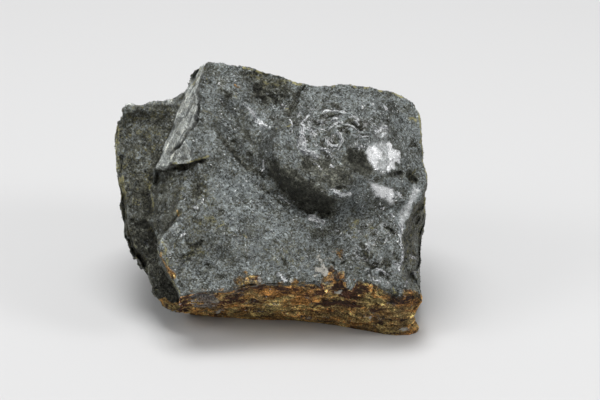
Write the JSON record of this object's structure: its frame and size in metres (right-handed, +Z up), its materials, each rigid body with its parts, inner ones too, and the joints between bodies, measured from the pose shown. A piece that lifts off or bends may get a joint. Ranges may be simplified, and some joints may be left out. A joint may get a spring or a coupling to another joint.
{
  "type": "stibnite specimen",
  "caption": "Broken lump of massive lead-grey stibnite ore: a leaning main face with a rounded bulge, a set-back slab at the left and a rusty layered lower face.",
  "frame": {"origin": "under the middle of the lump, on the surface that it rests on", "axes": "+X to the right of the main face, which looks towards -Y and leans back; +Z up"},
  "size_m": [0.0726, 0.0554, 0.0548],
  "materials": {
    "stibnite_ore": "granular lead-grey metallic ore of tiny blades, polished in places, with olive-yellow dust and a rust-stained lower face"
  },
  "bodies": {
    "root": {"stibnite_specimen": "stibnite_ore"}
  },
  "joints": []
}
